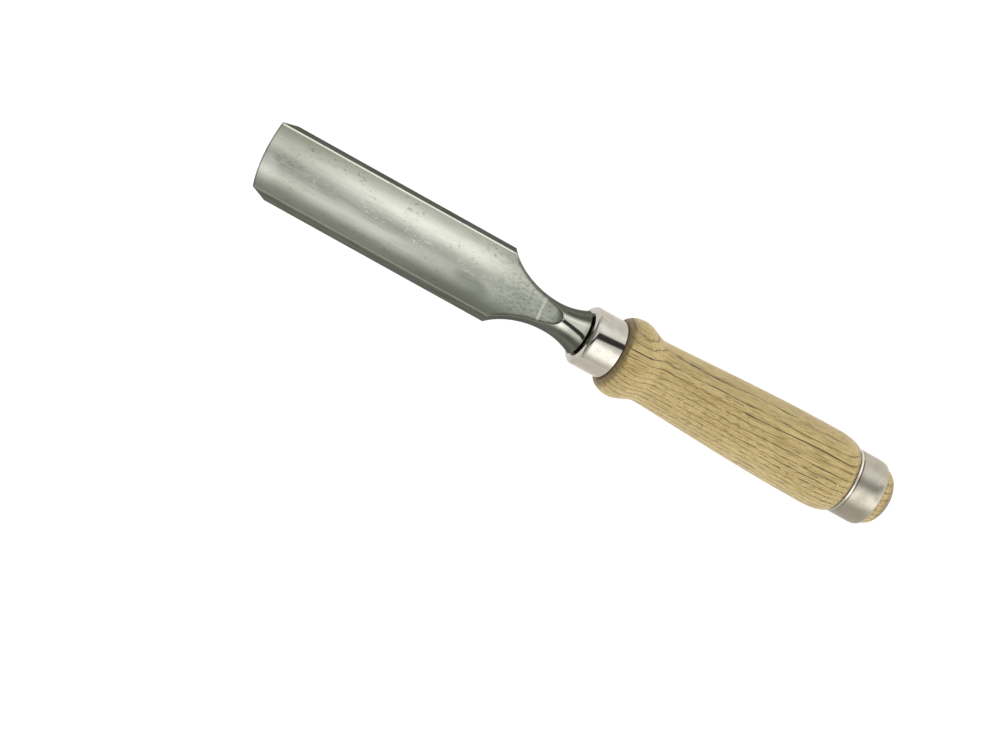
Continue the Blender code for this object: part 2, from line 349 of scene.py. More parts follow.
def trough_colour(steel, point, tongue):
    """Polish, then real dulling, painted shade and painted highlights from the cutting edge to the
    tip of the tongue.
    """
    along, across, lean = point.along, point.across, point.lean
    painted_tip_shade = along.between(60.0, 4.0) * across.between(-2.0, 4.0)
    painted_tip_highlight = across.between(2.5, -0.5) * across.between(-12.5, -9.5) * along.between(10.5, 3.0)
    painted_wall_shade = lean.between(0.12, 0.46) * (along.between(50.0, 110.0) * 0.12 + 0.72)
    painted_far_shade = along.between(55.0, 95.0) * across.between(-0.5, -5.0)
    patch_along = (along - DULL_PATCH_ALONG) / DULL_PATCH_LENGTH
    patch_across = (across - DULL_PATCH_ACROSS) / DULL_PATCH_WIDTH
    dull_patch = (patch_along ** 2 + patch_across ** 2).between(1.0, 0.1)
    bright_line = (along - BRIGHT_LINE_STATION).size().between(*BRIGHT_LINE_FADE)
    painted_tongue_shade = along.between(*[tongue - distance for distance in TONGUE_SHADE])
    painted_shoulder_shade = point.from_rim.between(1.5, 0.6) * along.between(107.0, 112.0)
    polish = steel.mix(point.clouds.between(0.3, 0.7), paint(200, 203, 191), paint(211, 214, 204))
    # Painted shade: on both walls by the way they face, on one side towards the tip, on one half
    # further back, at the end of the tongue and beside the rim at the shoulders. Painted highlight:
    # near the tip.
    return steel.coats(
        polish,
        (point.streaks.between(0.42, 0.75) * 0.45, paint(176, 180, 165)),
        (painted_tip_shade * 0.5, paint(112, 116, 102)),
        (painted_tip_highlight * 0.55, paint(236, 236, 229)),
        (painted_wall_shade, paint(72, 74, 62)),
        (lean.between(-0.20, -0.55) * 0.66, paint(86, 88, 76)),
        (painted_far_shade * 0.34, paint(104, 108, 96)),
        (point.run_out * 0.35, paint(140, 145, 133)),
        (point.run_out * point.mottle.between(0.44, 0.62) * 0.45, paint(98, 102, 90)),
        (dull_patch * point.clouds.between(0.25, 0.6) * 0.5, paint(92, 96, 86)),
        (point.smudge * 0.5, paint(82, 82, 68)),
        (bright_line * 0.6, paint(226, 229, 217)),
        (painted_tongue_shade * 0.6, paint(70, 73, 64)),
        (painted_shoulder_shade * 0.75, paint(70, 73, 64)),
    )


print(f"the wheel left its mark {BRIGHT_LINE_STATION:.1f} mm from the cutting edge")

# %% The whole finish of the blade
# Behind this station the steel, the seat in the gap at the ferrule and the tang, is painted
# near-black: painted shadow in the gap.
GAP_SHADOW_START = station(ferrule_low.x) * MILLIMETRES - 0.8
GAP_SHADOW_FADE = 0.2
EDGE_LINE = (0.9, 0.3)
STEEL_RELIEF = 0.012


def skin_with_painted_shade(steel, point):
    """Brushed streaks, with painted light where it faces up and painted shade down the sides."""
    fine = point.streaks.between(0.3, 0.7)
    bright = steel.mix(fine, paint(198, 199, 187), paint(184, 185, 173))
    dark = steel.mix(fine, paint(98, 99, 91), paint(82, 84, 75))
    return steel.mix((point.lean + 0.08).size().between(0.28, 0.56), bright, dark)


def ground_steel(tongue):
    """Trough and skin together. The tip of the tongue is given in millimetres."""
    steel = Finish("ground_steel", Metallic=1.0, Specular_Tint=(0.5, 0.5, 0.5, 1.0))
    point = steel_point(steel)
    along, in_trough, from_rim = point.along, point.in_trough, point.from_rim
    trough = trough_colour(steel, point, tongue)
    far_half = point.across.between(-3.0, 3.0)
    lit_line = steel.mix(far_half, paint(158, 160, 148), paint(206, 208, 196))
    beside_rim = from_rim.between(0.15, 0.30) * from_rim.between(0.90, 0.65) * in_trough
    # The eased rim is painted dark and the dents darker, as painted shade, and a painted highlight
    # runs in the trough beside the rim as far as the shoulders.
    steel.set("Base Color", steel.coats(
        steel.mix(in_trough, skin_with_painted_shade(steel, point), trough),
        (point.rim * 0.8, paint(84, 86, 77)),
        (beside_rim * along.between(114.0, 108.0) * 0.85, lit_line),
        (point.dents * 0.22, paint(92, 94, 82)),
        (along.between(*EDGE_LINE) * 0.6, paint(64, 66, 58)),
        (along.between(GAP_SHADOW_START, GAP_SHADOW_START + GAP_SHADOW_FADE), paint(20, 19, 17)),
    ))

    ground = point.clouds * 0.10 + point.scratches * 0.05 + point.run_out * 0.14
    ground = ground + point.smudge * 0.2 + 0.32
    skin = point.scratches * 0.06 + along.between(136.0, 122.0) * 0.27 + 0.07
    steel.set("Roughness", ground * in_trough + skin * (1 - in_trough))

    relief = (point.scratches * 0.5 + point.grit * 0.3) * (in_trough * 0.85 + 0.15)
    relief = relief + point.run_out * in_trough * point.mottle * 1.8 - point.dents * 5.0
    steel.relief(relief, STEEL_RELIEF)
    return steel.material


print(f"the gap at the ferrule starts {GAP_SHADOW_START:.1f} mm from the cutting edge")

# %% [markdown]
# ## Nickel plate
#
# The ferrule is bright and almost a mirror. The hoop has the same plating, dulled to satin by the
# mallet, with a painted highlight on its front rim and a broken line of painted shade behind it.
# Both are turned, so their faint tool marks run round them: noise drawn out across the tool but
# tight along it. Real plate is never perfectly clean, so a cloudy film changes the colour and the
# roughness a little, and tiny specks break the reflections. Both are painted darker down their
# sides and on the near side, as painted shade, and the mouth of the ferrule is painted black, as
# painted shadow in the gap.

# %% Nickel plate, bright or satin
# Painted highlight and painted shade at the hoop's front rim, by distance behind the front.
FRONT_HIGHLIGHT_RIM = (1.05, 0.85)
FRONT_SHADE_START = (0.85, 1.05)
FRONT_SHADE_END = (1.70, 1.35)
FRONT_LINES_SHARE = 0.8
NICKEL_RELIEF = 0.004


def painted_front_lines(nickel, front, film):
    """A painted highlight on the front rim, with a broken line of painted shade behind it."""
    behind = nickel.parts(nickel.place(centre=(front, 0.0, 0.0)))[0]
    shade_line = behind.between(*FRONT_SHADE_START) * behind.between(*FRONT_SHADE_END) * film.between(0.25, 0.45)
    highlight = (behind.between(*FRONT_HIGHLIGHT_RIM) * FRONT_LINES_SHARE, paint(250, 247, 236))
    return highlight, (shade_line * FRONT_LINES_SHARE, paint(52, 47, 38))


def painted_mouth_shadow(nickel, radius):
    """Painted shadow inside a radius, given in millimetres."""
    _, across, height = nickel.parts(nickel.place(centre=(0.0, 0.0, CENTRE_HEIGHT)))
    from_centre = (across * across + height * height).root()
    return from_centre.between(radius + 0.3, radius - 0.1), paint(18, 17, 15)


def nickel_plate(name, clean, warm, gloss, film_depth, shade, front=None, mouth=None):
    """A plated finish, with painted shade down its sides and on its near side. Its front can carry
    a painted highlight and painted shade, or its mouth painted shadow.
    """
    nickel = Finish(name, Metallic=1.0)
    where = nickel.place(centre=(0.0, 0.0, CENTRE_HEIGHT))
    _, lean, _ = nickel.facing()
    film = nickel.noise(where, 4.0, detail=4.0)
    rings = nickel.noise(nickel.place(stretch=(1.0, 0.02, 0.02)), 0.18, detail=2.0)
    specks = nickel.noise(where, 0.8, detail=1.0).between(0.70, 0.75)
    coats = [(film.between(0.35, 0.7), warm), (specks * 0.5, paint(150, 142, 120))]
    if front is not None:
        coats += painted_front_lines(nickel, front, film)
    # Painted shade down both sides, and more painted shade on the near side.
    coats.append((lean.size().between(0.45, 0.9) * 0.6, paint(166, 156, 136)))
    coats.append((lean.between(-0.45, -0.75) * shade, paint(104, 97, 82)))
    if mouth is not None:
        coats.append(painted_mouth_shadow(nickel, mouth))
    nickel.set("Base Color", nickel.coats(clean, *coats))
    nickel.set("Roughness", film * film_depth + rings * 0.04 + specks * 0.1 + gloss)
    nickel.relief(rings * 0.6 + film * 0.8, NICKEL_RELIEF)
    return nickel.material


# The share of the plate's colour that the painted highlight and painted shade at the front take.
print(f"wear takes {FRONT_LINES_SHARE:.0%} of the plate's colour")

# %% [markdown]
# ## Turned ash
#
# Ash is pale, with a coarse grain. Each year's growth is a shell round the heart of the tree, and
# it starts with a layer of large pores, which show as dark lines wherever the turned surface cuts
# them. A solid pattern gives this for nothing. The heart lies to one side of the handle and below
# it, the grain runs a few degrees off the tool's line, and slow noise bends it, so the cut shells
# show as long lines that wander. Where the surface lies flat along a shell there are no pores to
# cut, and where it faces along the tool the cut ends of the fibres are darker.

# %% The rings of the tree
HEART = (0.0, -0.055, -0.016)
RING_WIDTH = 2.3
GRAIN_SLOPE = 0.045
END_GRAIN = (0.34, 0.74)
FLAT_TO_SHELL = (0.99, 0.94)


def tree_rings(ash):
    """A point's place in the tree, how early in its year it grew, and how far it is end grain."""
    along, across, height = ash.parts(ash.place(centre=HEART))
    bend = ash.noise(ash.place(stretch=(0.18, 0.8, 0.8)), 11.0, detail=2.0) * 3.0
    waver = ash.noise(ash.place(stretch=(0.10, 0.8, 0.8)), 2.2, detail=2.0) * 1.2
    across = across - along * GRAIN_SLOPE + bend + waver
    from_heart = (across * across + height * height).root()
    season = (from_heart / RING_WIDTH).maths("FRACT")
    towards_end, lean, rise = ash.facing()
    along_shell = ((lean * across + rise * height) / from_heart).size().between(*FLAT_TO_SHELL)
    early = season.between(0.30, 0.02) * season.between(0.0, 0.02) * along_shell
    end_grain = towards_end.size().between(*END_GRAIN)
    return along, across, height, early, end_grain


print(f"each year's shell is {RING_WIDTH} mm thick")

# %% Turned ash
OTHER_PORES = 40.0
ASH_RELIEF = 0.06


def turned_ash():
    ash = Finish("turned_ash", Metallic=0.0, Sheen_Weight=0.2, Sheen_Roughness=0.35)
    along, across, height, early, end_grain = tree_rings(ash)

    def with_grain(stretch, size, aside=0.0, **more):
        return ash.noise(ash.vector(along * stretch, across, height + aside), size, **more)

    fibres = with_grain(0.05, 0.24, roughness=0.6)
    streaks = with_grain(0.03, 2.2, detail=4.0, roughness=0.6)
    pores = with_grain(0.022, 0.18, detail=2.0)
    long_pores = with_grain(0.008, 0.27, OTHER_PORES, detail=2.5, roughness=0.6)
    open_pores = (pores + early * 0.07).between(0.575, 0.635)
    dark_lines = (long_pores + early * 0.18).between(0.655, 0.68)
    patches = ash.drawn_out(0.25, 12.0, detail=2.0).between(0.3, 0.7)
    calm = ash.drawn_out(0.12, 5.0, detail=1.0).between(0.56, 0.44)

    ash.set("Base Color", ash.coats(
        ash.mix(patches, paint(204, 182, 124), paint(212, 191, 132)),
        (streaks.between(0.35, 0.75) * 0.55, paint(184, 160, 98)),
        (early * 0.42, paint(170, 143, 85)),
        (fibres.between(0.44, 0.62) * 0.6, paint(168, 142, 85)),
        (open_pores * 0.62, paint(98, 74, 34)),
        (dark_lines * (calm * 0.45 + 0.5), paint(58, 42, 14)),
        (end_grain * (pores.between(0.45, 0.58) * 0.35 + 0.5), paint(92, 70, 34)),
    ))
    ash.set("Roughness", fibres * 0.12 + open_pores * 0.2 + 0.45)
    ash.relief(fibres * 0.35 - open_pores * 0.8 - dark_lines * 1.2, ASH_RELIEF)
    return ash.material


print(f"the pores are cut up to {ASH_RELIEF} mm deep")

# %% [markdown]
# ## The forged blade
#
# The blade can't be turned or extruded: its section starts as a hollow arc, narrows at the
# shoulders and becomes round in the neck, while the trough runs out in a tongue. Cutting the
# trough with a Boolean leaves a ragged edge just where the light catches it, so each section is
# drawn outright instead. Half a section is walked from the middle of the back, round the side, to
# the line where the trough's circle cuts it, and then along the trough to the middle. The sharp
# line between the two is eased by a small curve, which is what makes the bright line along a real
# rim.

# %% Sizes of the blade and the neck
TROUGH_RADIUS = 0.02335
TROUGH_HALF_ANGLE = math.radians(36.5)
RIM_HEIGHT = 0.0082
TROUGH_AXIS_HEIGHT = RIM_HEIGHT + TROUGH_RADIUS * math.cos(TROUGH_HALF_ANGLE)
BLADE_WIDTH = blade_high.y - blade_low.y
BLADE_WALL = 0.00355
BACK_RADIUS = TROUGH_RADIUS + BLADE_WALL
BLADE_LENGTH = 0.1099
GRIND_SLOPE = math.tan(math.radians(25))
EDGE_LAND = 0.00005

NECK_RADIUS = 0.00642
SHOULDER_RADIUS = 0.0437
FLARE_RADIUS = 0.0300
BOLSTER_RADIUS = 0.00937
RAMP_START = 0.0068
RAMP_LENGTH = 0.0040
RAMP_ANGLE = math.radians(10)
RUN_OUT_RADIUS = 0.0115


def arc_reach(radius, rise):
    """Length that an arc needs to turn away from its tangent by the given rise."""
    return math.sqrt(radius ** 2 - (radius - rise) ** 2)


NECK_X = BLADE_LENGTH + arc_reach(SHOULDER_RADIUS, BLADE_WIDTH / 2 - NECK_RADIUS)
BOLSTER_X = NECK_X + arc_reach(FLARE_RADIUS, BOLSTER_RADIUS - NECK_RADIUS)
print(f"neck at {NECK_X * MILLIMETRES:.1f} mm and bolster at {BOLSTER_X * MILLIMETRES:.1f} mm")

# %% Outline of a section before the trough is cut
BACK_POINTS = 40
SIDE_POINTS = 160


def from_trough_axis(distance, angle):
    """Point (y, z) at a distance from the trough's axis, at an angle from straight down."""
    return Vector((distance * math.sin(angle), TROUGH_AXIS_HEIGHT - distance * math.cos(angle)))


def neck_radius(at):
    """Half-width of the shoulders and neck, or the radius where they are round."""
    if at < NECK_X:
        return NECK_RADIUS + SHOULDER_RADIUS - math.sqrt(SHOULDER_RADIUS ** 2 - (NECK_X - at) ** 2)
    return NECK_RADIUS + FLARE_RADIUS - math.sqrt(FLARE_RADIUS ** 2 - (at - NECK_X) ** 2)


def half_outline(at):
    """Back and side of half a section, from the middle of the back up to the middle of the top."""
    half_width = BLADE_WIDTH / 2 if at <= BLADE_LENGTH else neck_radius(at)
    roundness = min(max((at - BLADE_LENGTH) / (NECK_X - BLADE_LENGTH), 0.0), 1.0)
    roundness = roundness * roundness * (3 - 2 * roundness)
    back_radius = min(BACK_RADIUS, TROUGH_RADIUS + EDGE_LAND + at * GRIND_SLOPE)
    spread = math.asin(min(half_width / BACK_RADIUS, 1.0))
    corner = from_trough_axis(back_radius, spread)
    top = from_trough_axis(TROUGH_RADIUS - CLEARANCE, spread)
    crown = Vector((0.0, top.y))

    def eased(hollow, turn):
        ring = Vector((math.cos(turn), math.sin(turn))) * half_width
        return hollow.lerp(ring, roundness)

    back = []
    for i in range(BACK_POINTS):
        share = i / BACK_POINTS
        back.append(eased(from_trough_axis(back_radius, spread * share), math.pi / 2 * (share - 1)))
    side = []
    for i in range(SIDE_POINTS + 1):
        share = 2 * i / SIDE_POINTS
        hollow = corner.lerp(top, share) if share < 1 else top.lerp(crown, share - 1)
        side.append(eased(hollow, math.pi / 4 * share))
    return back, side


print("half a section has", BACK_POINTS + SIDE_POINTS + 1, "points before the trough is cut")

# %% The trough's radius along the tool
RAMP_X = NECK_X - RAMP_START
CLIMB_X = RAMP_X + RAMP_LENGTH
CLIMB_FOOT = TROUGH_RADIUS - RAMP_LENGTH * math.tan(RAMP_ANGLE)
CLIMB_CENTRE_X = CLIMB_X - RUN_OUT_RADIUS * math.sin(RAMP_ANGLE)
CLIMB_CENTRE_RADIUS = CLIMB_FOOT - RUN_OUT_RADIUS * math.cos(RAMP_ANGLE)
HALVINGS = 40
SEARCH_REACH = 0.9


def trough_radius(at):
    """Full radius up to the neck, then a ramp and a curve that lift the trough out of the steel."""
    if at <= RAMP_X:
        return TROUGH_RADIUS
    if at <= CLIMB_X:
        return TROUGH_RADIUS - (at - RAMP_X) * math.tan(RAMP_ANGLE)
    return CLIMB_CENTRE_RADIUS + math.sqrt(RUN_OUT_RADIUS ** 2 - (at - CLIMB_CENTRE_X) ** 2)


def tongue_tip():
    """Station where the trough leaves the steel, found by halving."""
    low, high = CLIMB_X, CLIMB_CENTRE_X + RUN_OUT_RADIUS * SEARCH_REACH
    for _ in range(HALVINGS):
        middle = (low + high) / 2
        if trough_radius(middle) > TROUGH_AXIS_HEIGHT - neck_radius(middle):
            low = middle
        else:
            high = middle
    return low


TONGUE_X = tongue_tip()
print(f"the trough runs out {TONGUE_X * MILLIMETRES:.1f} mm from the cutting edge")

# %% A whole section, trough and eased rims included
WALL_POINTS = 14
RIM_POINTS = 5
TROUGH_POINTS = 40
RIM_EASE = 0.00028
LARGEST_EASE = 0.3


def along_path(path, count, length=None):
    """Points at equal steps along a path, up to a length."""
    steps = [(b - a).length for a, b in zip(path, path[1:])]
    length = sum(steps) if length is None else length
    points = []
    for i in range(count):
        left = length * i / (count - 1)
        k = 0
        while k < len(steps) - 1 and left > steps[k]:
            left -= steps[k]
            k += 1
        share = left / steps[k] if steps[k] > 0 else 0.0
        points.append(path[k].lerp(path[k + 1], min(share, 1.0)))
    return points


def side_to_trough(side, radius):
    """The side's path, cut off where it meets the trough's circle."""
    axis = Vector((0.0, TROUGH_AXIS_HEIGHT))
    kept = [side[0]]
    for near, far in zip(side, side[1:]):
        over_near = (near - axis).length - radius
        over_far = (far - axis).length - radius
        if over_far < 0:
            kept.append(near.lerp(far, over_near / (over_near - over_far)))
            return kept
        kept.append(far)
    return kept


def whole_section(at):
    """Closed ring of (y, z) points. Rings past the tongue keep the same number of points."""
    back, side = half_outline(at)
    radius = trough_radius(at) if at < TONGUE_X else 0.0
    wall = side_to_trough(side, radius)
    corner = wall[-1]
    turn = math.atan2(corner.x, TROUGH_AXIS_HEIGHT - corner.y) if at < TONGUE_X else 0.0
    wall_length = sum((b - a).length for a, b in zip(wall, wall[1:]))
    ease = min(RIM_EASE, wall_length * LARGEST_EASE, turn * radius * LARGEST_EASE)
    wall = along_path(wall, WALL_POINTS, wall_length - ease)
    eased_turn = turn - ease / radius if radius else 0.0
    start = from_trough_axis(radius, eased_turn) if radius else corner
    rim = []
    for i in range(1, RIM_POINTS):
        share = i / RIM_POINTS
        rim.append(wall[-1].lerp(corner, share).lerp(corner.lerp(start, share), share))
    trough = [start]
    for i in range(1, TROUGH_POINTS + 1):
        left = eased_turn * (1 - i / TROUGH_POINTS)
        trough.append(from_trough_axis(radius, left) if radius else corner)
    half = back + wall + rim + trough
    other = [Vector((-p.x, p.y)) for p in reversed(half[1:-1])]
    return half + other


print("a whole section has", len(whole_section(0.05)), "points")

# %% Stations of the sections
FIRST_SECTION = 0.0002
TONGUE_SECTIONS = 40
TANG_LENGTH = 0.0720
TANG_ROOT = 0.0084
TANG_TIP = 0.0046
SEAT_RADIUS = 0.0076
SEAT_DEPTH = 0.0013
SEAT_X = station(ferrule_low.x) + SEAT_DEPTH
BOLSTER_EASE = 0.00025


def spaced(start, end, count):
    """Stations from start to end, the end left out."""
    return [start + (end - start) * i / count for i in range(count)]


def blade_stations():
    """Sections stand closer together where the shape turns, and closest at the tongue's tip."""
    grind_end = (BLADE_WALL - EDGE_LAND) / GRIND_SLOPE
    stations = [0.0]
    for start, end, count in (
        (FIRST_SECTION, grind_end, 6),
        (grind_end, BLADE_LENGTH, 12),
        (BLADE_LENGTH, RAMP_X, 36),
        (RAMP_X, CLIMB_X, 8),
    ):
        stations += spaced(start, end, count)
    for i in range(TONGUE_SECTIONS):
        stations.append(TONGUE_X - (TONGUE_X - CLIMB_X) * (1 - i / TONGUE_SECTIONS) ** 2)
    return stations + spaced(TONGUE_X, BOLSTER_X - BOLSTER_EASE, 14)


stations = blade_stations()
print(len(stations), "sections from the cutting edge to the bolster")

# %% [markdown]
# Position alone can't tell the ground trough from the skin of the bolster, which stands just as
# high. So every point of a section carries three marks for the finish: whether it lies in the
# trough, whether it lies on the eased rim, and how far it is from the rim.

# %% Marks on the points of a section
BACK_AND_WALL = BACK_POINTS + WALL_POINTS
EASED = RIM_POINTS - 1
TROUGH = TROUGH_POINTS + 1
HALF_GROUND = [0.0] * (BACK_AND_WALL + EASED) + [1.0] * TROUGH
HALF_RIM = [0.0] * BACK_AND_WALL + [1.0] * EASED + [0.0] * TROUGH
RIM_INDEX = BACK_AND_WALL + 1


def both_halves(half):
    """Marks of a whole section. The middle points of the back and the trough are shared."""
    return half + half[-2:0:-1]


def from_rim(ring):
    """Distance of each point from the rim on its own side."""
    near, far = ring[RIM_INDEX], ring[-RIM_INDEX]
    return [(point - (near if point.x > 0 else far)).length for point in ring]


print(int(sum(both_halves(HALF_GROUND))), "points of a section lie in the trough")

# %% Sections of the bolster and the tang
EASE_SECTIONS = 5


def ring_like(points, radius_at):
    """A round or square section, with its points at the same angles as a given one's."""
    ring = []
    for point in points:
        turn = math.atan2(point.y, point.x)
        ring.append(Vector((math.cos(turn), math.sin(turn))) * radius_at(turn))
    return ring


def square_reach(width):
    return lambda turn: width / 2 / max(abs(math.cos(turn)), abs(math.sin(turn)))


def forging_sections():
    sections = [(at, whole_section(at)) for at in stations]
    pattern = sections[-1][1]
    for i in range(EASE_SECTIONS):
        turn = math.pi / 2 * i / (EASE_SECTIONS - 1)
        at = BOLSTER_X - BOLSTER_EASE * (1 - math.sin(turn))
        radius = BOLSTER_RADIUS - BOLSTER_EASE * (1 - math.cos(turn))
        sections.append((at, ring_like(pattern, lambda _, radius=radius: radius)))
    for at in (BOLSTER_X, SEAT_X):
        sections.append((at, ring_like(pattern, lambda _: SEAT_RADIUS)))
    sections.append((SEAT_X, ring_like(pattern, square_reach(TANG_ROOT))))
    sections.append((SEAT_X + TANG_LENGTH, ring_like(pattern, square_reach(TANG_TIP))))
    return sections


print(f"the tang reaches {(SEAT_X + TANG_LENGTH) * MILLIMETRES:.1f} mm from the cutting edge")

# %% The forging, skinned from its sections
def add_marks(mesh, name, values):
    mesh.attributes.new(name, "FLOAT", "POINT").data.foreach_set("value", values)


def forged_blade():
    sections = forging_sections()
    count = len(sections[0][1])
    points = [(at, p.x, p.y) for at, ring in sections for p in ring]
    faces = [list(range(count))]
    for row in range(len(sections) - 1):
        near, far = row * count, (row + 1) * count
        for i in range(count):
            j = (i + 1) % count
            faces.append((near + i, near + j, far + j, far + i))
    faces.append([(len(sections) - 1) * count + i for i in range(count)])
    mesh = bpy.data.meshes.new("forged_blade")
    mesh.from_pydata(points, [], faces)
    for name, half in (("ground", HALF_GROUND), ("rim", HALF_RIM)):
        marks = both_halves(half)
        add_marks(mesh, name, [m if at < TONGUE_X else 0.0 for at, _ in sections for m in marks])
    add_marks(mesh, "from_rim", [distance for _, ring in sections for distance in from_rim(ring)])
    return finished_piece("forged_blade", mesh, ground_steel(TONGUE_X * MILLIMETRES))


blade = forged_blade()

# %% [markdown]
# ## Turned pieces
#
# The ferrule, the handle and the hoop come off a lathe, so each is one outline swept round the
# centre line. The rule is the same for all three, so it is one Geometry Nodes tree: a grid of
# points, one row for each point of the outline and one column for each step of the turn, is
# wrapped round the axis. The tree can also plane flats above and below. It does so with a smooth
# minimum, which leaves the soft corner that sandpaper gives.

# %% A lathe in Geometry Nodes
def lathe_tree():
    tree = bpy.data.node_groups.new("lathe", "GeometryNodeTree")
    for name, kind in (
        ("Outline", "NodeSocketGeometry"),
        ("Steps", "NodeSocketInt"),
        ("Flat Height", "NodeSocketFloat"),
        ("Corner Softness", "NodeSocketFloat"),
        ("Finish", "NodeSocketMaterial"),
    ):
        tree.interface.new_socket(name, in_out="INPUT", socket_type=kind)
    tree.interface.new_socket("Turned", in_out="OUTPUT", socket_type="NodeSocketGeometry")
    lathe = Recipe(tree)
    given = tree.nodes.new("NodeGroupInput")
    outline, steps, flat, softness, finish = [Quantity(lathe, given.outputs[i]) for i in range(5)]

    sockets = {"Geometry": outline}
    count = lathe.node("GeometryNodeAttributeDomainSize", {"component": "MESH"}, sockets)
    sockets = {"Size X": 1.0, "Size Y": 1.0, "Vertices X": count, "Vertices Y": steps + 1}
    grid = lathe.node("GeometryNodeMeshGrid", {}, sockets)
    row, column, _ = lathe.parts(lathe.node("GeometryNodeInputPosition"))
    index = ((row + 0.5) * (count - 1)).maths("ROUND")
    turn = (column + 0.5) * math.tau
    settings = {"data_type": "FLOAT_VECTOR", "domain": "POINT"}
    position = lathe.node("GeometryNodeInputPosition")
    sockets = {"Geometry": outline, "Value": position, "Index": index}
    found = lathe.node("GeometryNodeSampleIndex", settings, sockets)
    along, radius, _ = lathe.parts(found)
    up = (radius * turn.maths("SINE")).maths("SMOOTH_MIN", flat, softness)
    up = up.maths("SMOOTH_MAX", flat * -1, softness)
    wrapped = lathe.vector(along, radius * turn.maths("COSINE"), up)
    turned = lathe.node("GeometryNodeSetPosition", {}, {"Geometry": grid, "Position": wrapped})
    whole = lathe.node("GeometryNodeRealizeInstances", {}, {"Geometry": turned})
    sockets = {"Geometry": whole, "Material": finish}
    painted = lathe.node("GeometryNodeSetMaterial", {}, sockets)
    tree.links.new(painted.socket, tree.nodes.new("NodeGroupOutput").inputs[0])
    return tree


LATHE = lathe_tree()
NO_FLAT = 1.0
print("lathe nodes:", len(LATHE.nodes))

# %% Turning one outline
def turned_piece(name, outline, finish, steps, flat=NO_FLAT, softness=0.0):
    """Turn (station, radius) points, bake the result and remove the modifier."""
    mesh = bpy.data.meshes.new(name + "_outline")
    mesh.from_pydata([(at, radius, 0.0) for at, radius in outline], [], [])
    blank = bpy.data.objects.new(name + "_outline", mesh)
    bpy.context.scene.collection.objects.link(blank)
    modifier = blank.modifiers.new("lathe", "NODES")
    modifier.node_group = LATHE
    wanted = {"Steps": steps, "Flat Height": flat, "Corner Softness": softness, "Finish": finish}
    for item in LATHE.interface.items_tree:
        if item.name in wanted:
            modifier[item.identifier] = wanted[item.name]
    evaluated = blank.evaluated_get(bpy.context.evaluated_depsgraph_get())
    baked = bpy.data.meshes.new_from_object(evaluated)
    blank.modifiers.remove(modifier)
    bpy.data.objects.remove(blank)
    return finished_piece(name, baked, finish)


def arc(centre, radii, start, end, steps):
    """Points (station, radius) on an elliptical arc between two angles in degrees."""
    points = []
    for i in range(steps + 1):
        turn = math.radians(start + (end - start) * i / steps)
        along, out = radii[0] * math.cos(turn), radii[1] * math.sin(turn)
        points.append((centre[0] + along, centre[1] + out))
    return points


print("ready to turn")

# %% [markdown]
# ## The handle
#
# The outline starts at the middle of the domed end and runs forward along the outside: dome,
# tenon under the hoop, tail, swelling grip, waist, collar and front tenon. It then turns back
# inside as the bore for the tang, so the finished handle is hollow there, as the real one is.

# %% Sizes of the handle
COLLAR_RADIUS = (handle_high.y - handle_low.y) / 2
COLLAR_FOOT_RADIUS = 0.0126
COLLAR_RISE = 0.0069
COLLAR_FALL = 0.0112
WAIST_RADIUS = 0.0132
SWELL_RADIUS = 0.0161
SWELL_FULLNESS = 1.15
TAIL_LENGTH = 0.0102
TAIL_CURVE_LENGTH = 0.0106
TAIL_FOOT_RADIUS = 0.0126
FERRULE_WALL = 0.0013
HOOP_WALL = 0.0014

TENON_X = station(handle_low.x)
COLLAR_X = station(ferrule_high.x) + CLEARANCE
BEAD_X = COLLAR_X + COLLAR_RISE
WAIST_X = BEAD_X + COLLAR_FALL
TAIL_X = station(hoop_low.x) - CLEARANCE
SWELL_X = TAIL_X - TAIL_LENGTH
HOOP_END_X = station(hoop_high.x)
HANDLE_END_X = station(handle_high.x)
FERRULE_RADIUS = (ferrule_high.z - ferrule_low.z) / 2
HOOP_RADIUS = (hoop_high.z - hoop_low.z) / 2
FRONT_TENON_RADIUS = FERRULE_RADIUS - FERRULE_WALL - CLEARANCE
REAR_TENON_RADIUS = HOOP_RADIUS - HOOP_WALL - CLEARANCE
print(f"grip from {WAIST_X * MILLIMETRES:.1f} to {TAIL_X * MILLIMETRES:.1f} mm")

# %% The handle, turned
HANDLE_STEPS = 192
FLAT_SOFTNESS = 0.0004
TAIL_STEPS = 20
SWELL_STEPS = 80
FALL_STEPS = 32
ROUND_STEPS = 28
BORE_SPARE = 0.001


def grip_outline():
    """From the tail's shoulder to the collar's front, from the rear forward."""
    tail_end = math.degrees(math.asin(TAIL_LENGTH / TAIL_CURVE_LENGTH))
    tail_radii = (TAIL_CURVE_LENGTH, SWELL_RADIUS - TAIL_FOOT_RADIUS)
    tail = arc((SWELL_X, TAIL_FOOT_RADIUS), tail_radii, 90 - tail_end, 90, TAIL_STEPS)
    swell = []
    for i in range(1, SWELL_STEPS):
        share = 1 - i / SWELL_STEPS
        rise = (SWELL_RADIUS - WAIST_RADIUS) * math.sin(math.pi / 2 * share) ** SWELL_FULLNESS
        swell.append((WAIST_X + (SWELL_X - WAIST_X) * share, WAIST_RADIUS + rise))
    fall = []
    for i in range(FALL_STEPS):
        share = 1 - i / FALL_STEPS
        drop = (COLLAR_RADIUS - WAIST_RADIUS) * (1 - math.cos(math.pi * share)) / 2
        fall.append((BEAD_X + COLLAR_FALL * share, COLLAR_RADIUS - drop))
    bead_radii = (COLLAR_RISE, COLLAR_RADIUS - COLLAR_FOOT_RADIUS)
    bead = arc((BEAD_X, COLLAR_FOOT_RADIUS), bead_radii, 90, 180, ROUND_STEPS)
    return tail + swell + fall + bead


